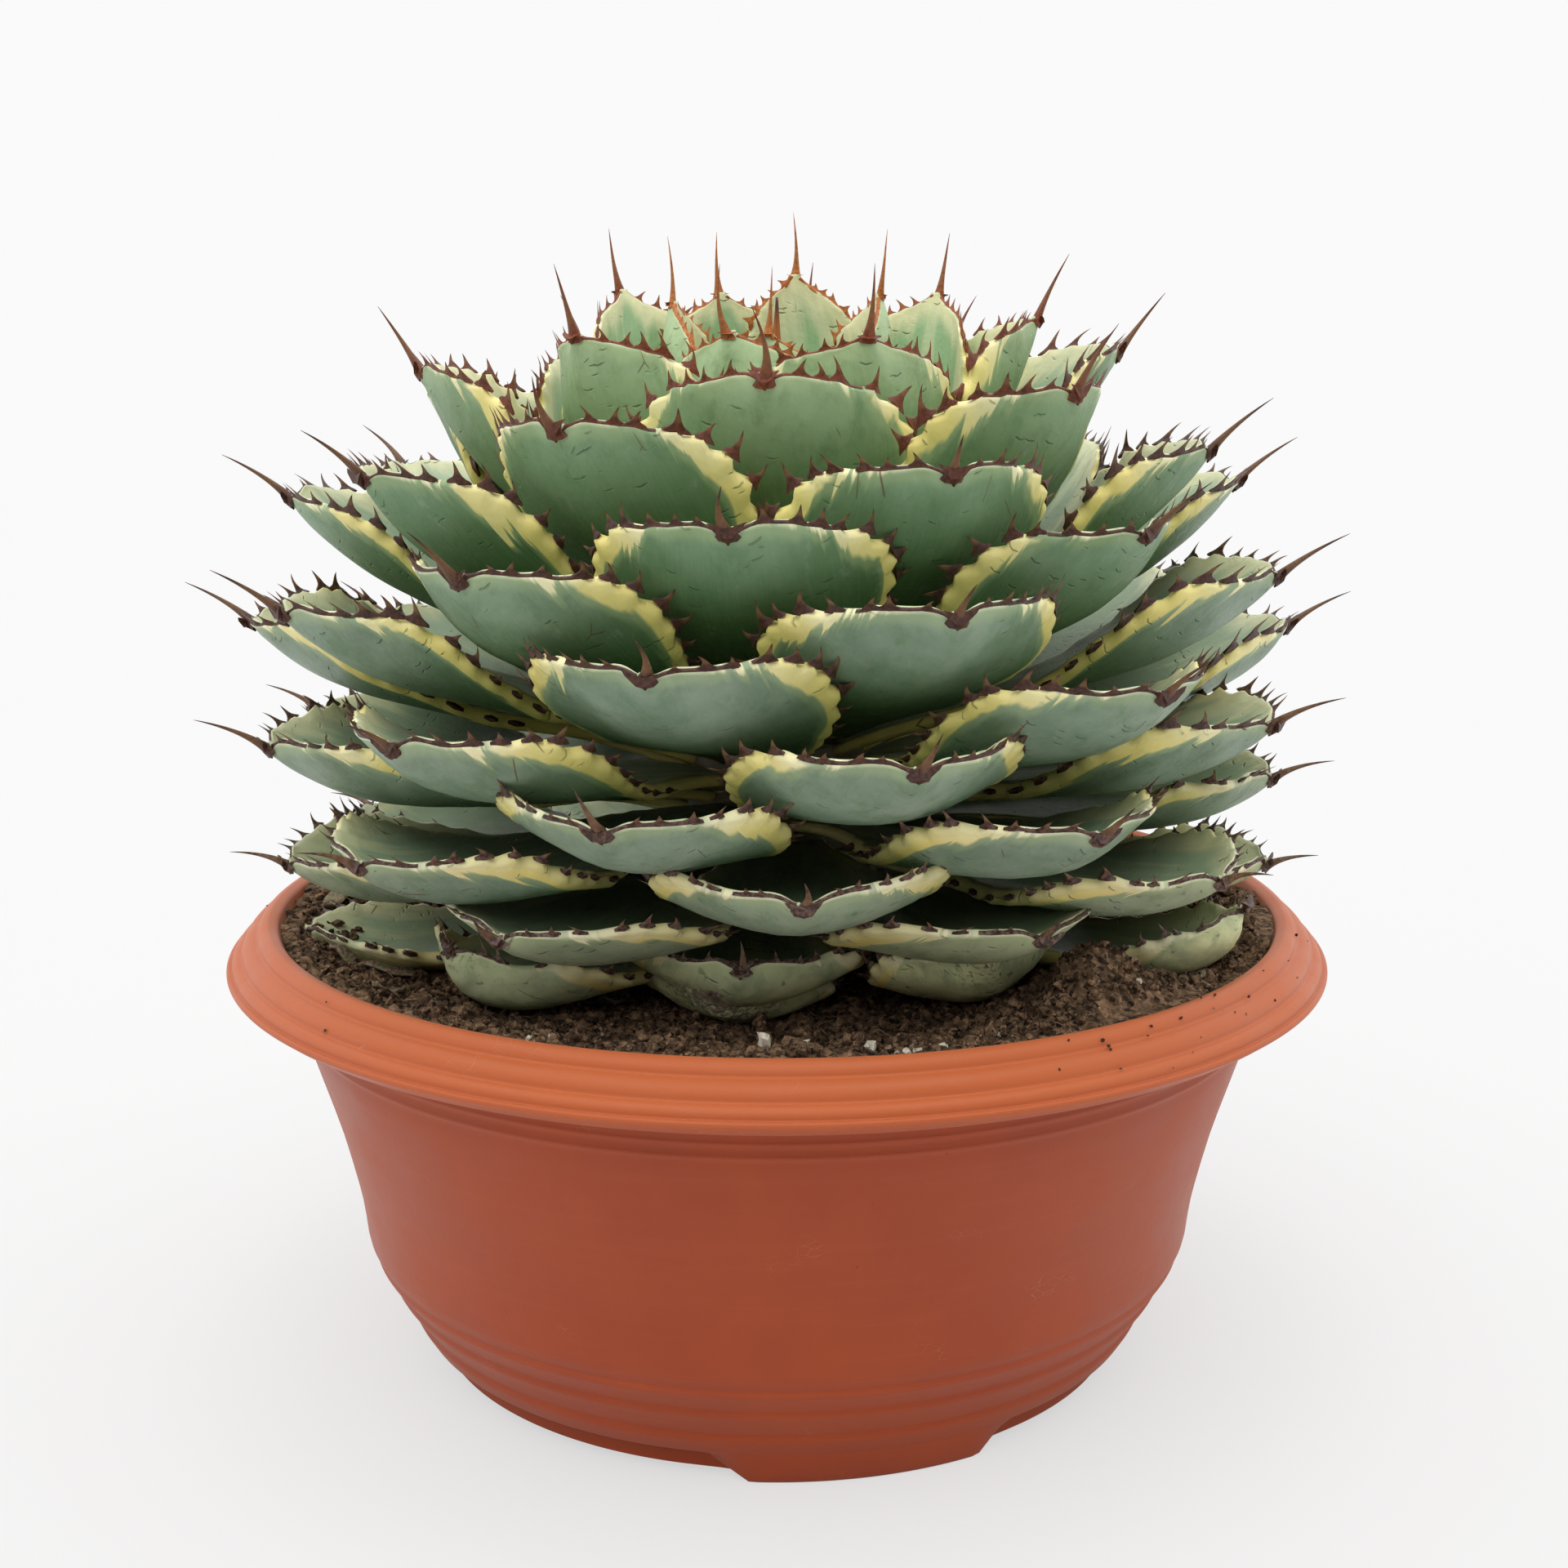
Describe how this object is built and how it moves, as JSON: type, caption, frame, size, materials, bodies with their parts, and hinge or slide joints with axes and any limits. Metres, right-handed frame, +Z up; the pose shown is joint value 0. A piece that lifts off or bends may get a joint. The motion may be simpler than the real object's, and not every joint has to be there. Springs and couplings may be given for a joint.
{
  "type": "potted agave",
  "caption": "Compact agave rosette of thick, cupped, yellow-edged leaves with toothed margins and end spines, growing in peat in a round plastic bowl with a rolled rim.",
  "frame": {"origin": "on the ground, on the bowl's axis", "axes": "+Z up along the bowl's axis; -Y is the front; +X to the right of someone who faces the front"},
  "size_m": [0.3207, 0.3108, 0.3109],
  "materials": {
    "terracotta_plastic": "satin",
    "peat": "matte",
    "young_leaf": "satin",
    "leaf": "satin"
  },
  "bodies": {
    "root": {"bowl": "terracotta_plastic", "soil": "peat", "stem_and_heart": "young_leaf", "leaf_21": "leaf", "leaf_22": "leaf", "leaf_23": "leaf", "leaf_24": "leaf", "leaf_25": "leaf", "leaf_26": "leaf", "leaf_27": "leaf", "leaf_28": "leaf", "leaf_29": "leaf", "leaf_30": "leaf", "leaf_31": "leaf", "leaf_32": "leaf", "leaf_33": "leaf", "leaf_34": "leaf", "leaf_35": "leaf", "leaf_36": "leaf", "leaf_37": "leaf", "leaf_38": "leaf", "leaf_39": "leaf", "leaf_40": "leaf", "leaf_41": "leaf", "leaf_42": "leaf", "leaf_43": "leaf", "leaf_44": "leaf", "leaf_45": "leaf", "leaf_46": "leaf", "leaf_47": "leaf", "leaf_48": "leaf", "leaf_49": "leaf", "leaf_50": "leaf", "leaf_51": "leaf", "leaf_52": "leaf", "leaf_53": "leaf", "leaf_54": "leaf", "leaf_55": "leaf", "leaf_56": "leaf", "leaf_57": "leaf", "leaf_58": "leaf", "leaf_59": "leaf", "leaf_60": "leaf", "leaf_61": "leaf", "leaf_62": "leaf", "leaf_63": "leaf", "leaf_64": "leaf", "leaf_65": "leaf", "leaf_66": "leaf", "leaf_67": "leaf", "leaf_68": "leaf", "leaf_69": "leaf", "leaf_70": "leaf", "leaf_71": "leaf", "leaf_72": "leaf", "leaf_73": "leaf", "leaf_75": "leaf", "leaf_76": "leaf", "leaf_81": "leaf", "leaf_86": "leaf"}
  },
  "joints": []
}
